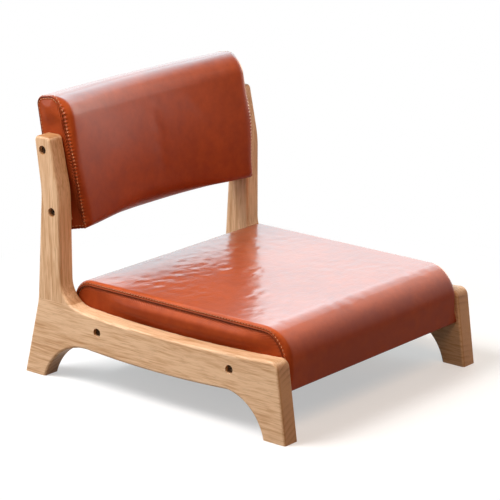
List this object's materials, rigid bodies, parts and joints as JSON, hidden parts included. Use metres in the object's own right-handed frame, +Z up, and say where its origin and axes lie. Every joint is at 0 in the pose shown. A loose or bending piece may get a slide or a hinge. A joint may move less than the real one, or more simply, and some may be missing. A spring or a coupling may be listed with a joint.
{
  "type": "floor chair",
  "caption": "Low floor chair: arched solid-wood side frames with bent rear posts hold a padded leather seat and a reclined, bowed leather back pad.",
  "frame": {"origin": "on the floor, under the middle of the chair's outline", "axes": "+X to the sitter's left, +Y to the back of the chair, +Z up"},
  "size_m": [0.48, 0.5354, 0.4433],
  "materials": {
    "frame_wood": "satin",
    "dowel_wood": "matte",
    "softwood": "matte",
    "plywood": "matte",
    "foam": "matte",
    "leather": "gloss",
    "dust_cloth": "matte",
    "bolt_steel": "satin",
    "zinc": "satin"
  },
  "bodies": {
    "root": {"right_side_rail": "frame_wood", "left_side_rail": "frame_wood", "right_back_post": "frame_wood", "left_back_post": "frame_wood", "right_post_dowels": "dowel_wood", "left_post_dowels": "dowel_wood", "seat_front_board": "softwood", "seat_rear_board": "softwood", "seat_right_board": "softwood", "seat_left_board": "softwood", "seat_corner_blocks": "softwood", "seat_deck": "plywood", "back_core": "plywood", "seat_foam": "foam", "back_front_foam": "foam", "back_rear_foam": "foam", "seat_cover_panel": "leather", "seat_cover_right_gusset": "leather", "seat_cover_left_gusset": "leather", "back_cover_panel": "leather", "back_cover_right_gusset": "leather", "back_cover_left_gusset": "leather", "seat_dust_cover": "dust_cloth", "seat_bolts": "bolt_steel", "back_bolts": "bolt_steel", "seat_insert_nuts": "zinc", "back_insert_nuts": "zinc", "seat_deck_screws": "zinc"}
  },
  "joints": []
}
